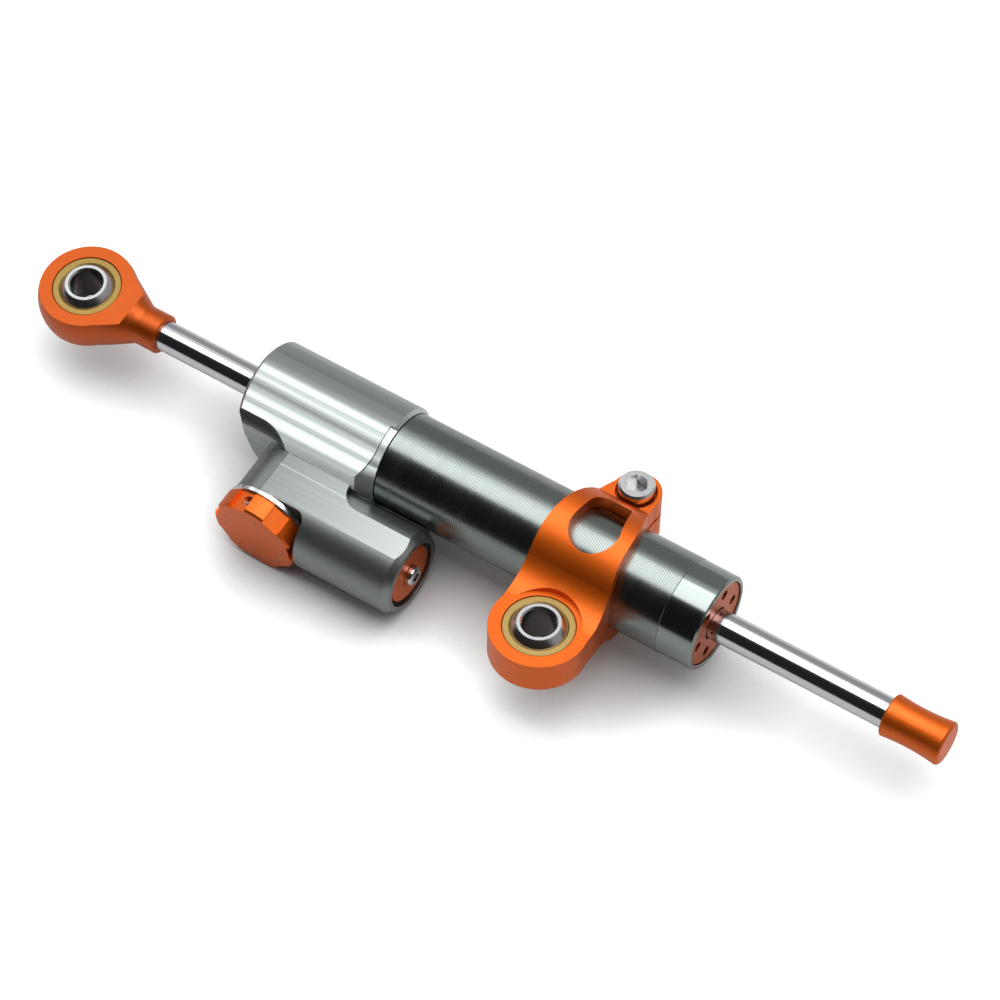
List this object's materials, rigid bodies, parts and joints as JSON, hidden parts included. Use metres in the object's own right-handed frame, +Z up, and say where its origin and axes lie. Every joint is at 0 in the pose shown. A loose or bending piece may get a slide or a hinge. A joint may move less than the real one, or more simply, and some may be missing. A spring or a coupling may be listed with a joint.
{
  "type": "motorcycle steering damper",
  "caption": "Linear steering damper for a motorcycle with a through rod, spherical rod end, side reservoir with adjuster knob, and a split clamp with a spherical bearing on the tube.",
  "frame": {"origin": "centre of the rod-end ball", "axes": "+X along the rod to the stop cap, -Y to the adjuster knob and the clamp's bearing, +Z up through the rod-end bore"},
  "size_m": [0.2644, 0.0637, 0.0368],
  "materials": {
    "titanium_grey_anodized": "satin",
    "dark_grey_anodized": "satin",
    "orange_anodized": "satin",
    "bronze": "satin",
    "brass": "satin",
    "rubber": "matte",
    "dark_steel": "satin",
    "bright_steel": "polished",
    "bright_aluminium": "satin",
    "hard_chrome": "polished",
    "ring_plastic": "matte"
  },
  "bodies": {
    "damper_body": {"head_housing": "titanium_grey_anodized", "tube": "dark_grey_anodized", "tail_gland": "orange_anodized", "front_bushing": "bronze", "tail_bushing": "bronze", "front_rod_seal": "rubber", "tail_rod_seal": "rubber", "front_wiper": "rubber", "tail_wiper": "rubber", "head_o_ring": "rubber", "gland_o_ring": "rubber", "reservoir_cap": "orange_anodized", "reservoir_cap_o_ring": "rubber", "cap_circlip": "dark_steel", "fill_screw": "bright_steel", "detent_ring": "bright_aluminium", "detent_ball": "bright_steel", "detent_spring": "bright_steel", "spindle_o_ring": "rubber"},
    "floating_piston": {"floating_piston": "bright_aluminium", "floating_piston_o_ring": "rubber"},
    "piston_ring": {"piston_ring": "ring_plastic"},
    "rod": {"rod": "hard_chrome", "piston": "bright_aluminium", "piston_circlips": "dark_steel", "rod_end": "orange_anodized", "rod_end_race": "brass", "stop_cap": "orange_anodized"},
    "rod_end_ball": {"rod_end_ball": "bright_steel"},
    "clamp": {"clamp": "orange_anodized", "clamp_race": "brass", "clamp_bolt": "bright_steel"},
    "clamp_ball": {"clamp_ball": "bright_steel"},
    "knob": {"knob": "orange_anodized", "knob_set_screw": "bright_steel", "adjuster_spindle": "bright_steel"}
  },
  "joints": [
    {"name": "rod_slide", "type": "slide", "parent": "damper_body", "child": "piston_ring", "axis": [1, 0, 0], "range_m": [-0.046, 0.031]},
    {"name": "rod_spin", "type": "hinge", "parent": "piston_ring", "child": "rod", "pos_m": [0.137, 0, 0], "axis": [1, 0, 0], "continuous": true},
    {"name": "rod_end_ball_tilt", "type": "hinge", "parent": "rod", "child": "rod_end_ball", "pos_m": [0, 0, 0], "axis": [1, 0, 0], "range_deg": [-13, 13]},
    {"name": "clamp_slide", "type": "slide", "parent": "damper_body", "child": "clamp", "axis": [1, 0, 0], "range_m": [-0.025, 0.02]},
    {"name": "clamp_ball_tilt", "type": "hinge", "parent": "clamp", "child": "clamp_ball", "pos_m": [0.1546, -0.02674, 0.00376], "axis": [1, 0, 0], "range_deg": [-13, 13]},
    {"name": "knob_turn", "type": "hinge", "parent": "damper_body", "child": "knob", "pos_m": [0.0739, -0.03, -0.009], "axis": [0, -1, 0], "range_deg": [0, 330]},
    {"name": "floating_piston_slide", "type": "slide", "parent": "damper_body", "child": "floating_piston", "axis": [1, 0, 0], "range_m": [-0.003, 0.003], "stiffness_N_per_m": 4000}
  ]
}
